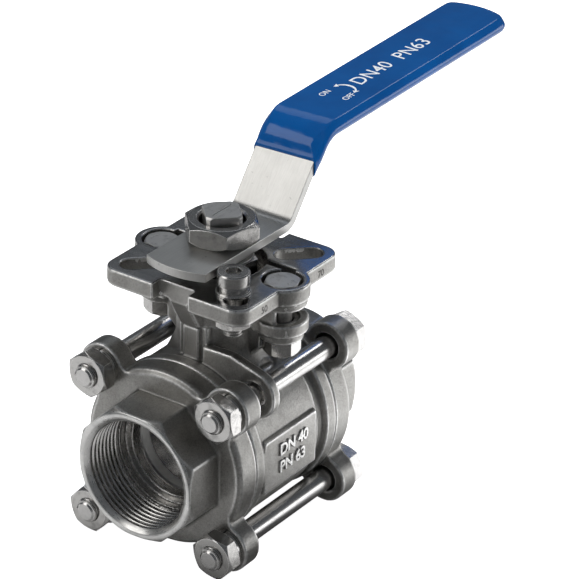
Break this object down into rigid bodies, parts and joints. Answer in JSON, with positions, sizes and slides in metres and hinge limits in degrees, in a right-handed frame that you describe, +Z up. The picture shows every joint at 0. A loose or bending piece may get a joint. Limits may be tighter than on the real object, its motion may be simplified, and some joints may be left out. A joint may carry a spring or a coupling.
{
  "type": "ball valve",
  "caption": "Three-piece threaded ball valve with a square mounting pad, a quarter-turn lever with a dipped grip, and a through-bored ball inside.",
  "frame": {"origin": "centre of the ball, where the flow axis crosses the stem axis", "axes": "+X along the flow axis towards the outlet and along the open lever, +Z up the stem"},
  "size_m": [0.2389, 0.08, 0.1549],
  "materials": {
    "cast_steel": "bead-blasted investment casting",
    "machined_steel": "turned and milled",
    "bright_steel": "bright cold-formed",
    "polished_steel": "polished",
    "strip_steel": "satin strip",
    "ptfe": "waxy matt",
    "rubber": "matt",
    "blue_vinyl": "glossy dip"
  },
  "bodies": {
    "valve_body": {"body": "cast_steel", "end_cap_inlet": "cast_steel", "end_cap_outlet": "cast_steel", "mounting_pad": "cast_steel", "seat_ring_inlet": "ptfe", "seat_ring_outlet": "ptfe", "body_seal_inlet": "ptfe", "body_seal_outlet": "ptfe", "thrust_washer": "ptfe", "stem_packing": "ptfe", "gland_ring": "machined_steel", "body_bolts": "bright_steel", "body_nuts": "bright_steel", "lock_washers": "bright_steel", "pad_bolts": "bright_steel", "pad_nuts": "bright_steel", "stop_screw": "bright_steel", "stop_sleeve": "bright_steel", "stop_washer": "bright_steel", "stop_nut": "bright_steel"},
    "stem_and_lever": {"stem": "machined_steel", "stem_o_ring": "rubber", "belleville_washers": "machined_steel", "gland_nut": "bright_steel", "lock_tab": "machined_steel", "lever_spacer": "bright_steel", "lever": "strip_steel", "lever_sleeve": "blue_vinyl", "handle_nut": "bright_steel"},
    "ball": {"ball": "polished_steel"}
  },
  "joints": [
    {"name": "stem_turn", "type": "hinge", "parent": "valve_body", "child": "stem_and_lever", "pos_m": [0, 0, 0], "axis": [0, 0, 1], "range_deg": [-90, 0]},
    {"name": "ball_turn", "type": "hinge", "parent": "valve_body", "child": "ball", "pos_m": [0, 0, 0], "axis": [0, 0, 1], "range_deg": [-90, 0]}
  ],
  "couplings": [
    {"joint": "ball_turn", "follows": "stem_turn", "ratio": 1}
  ]
}
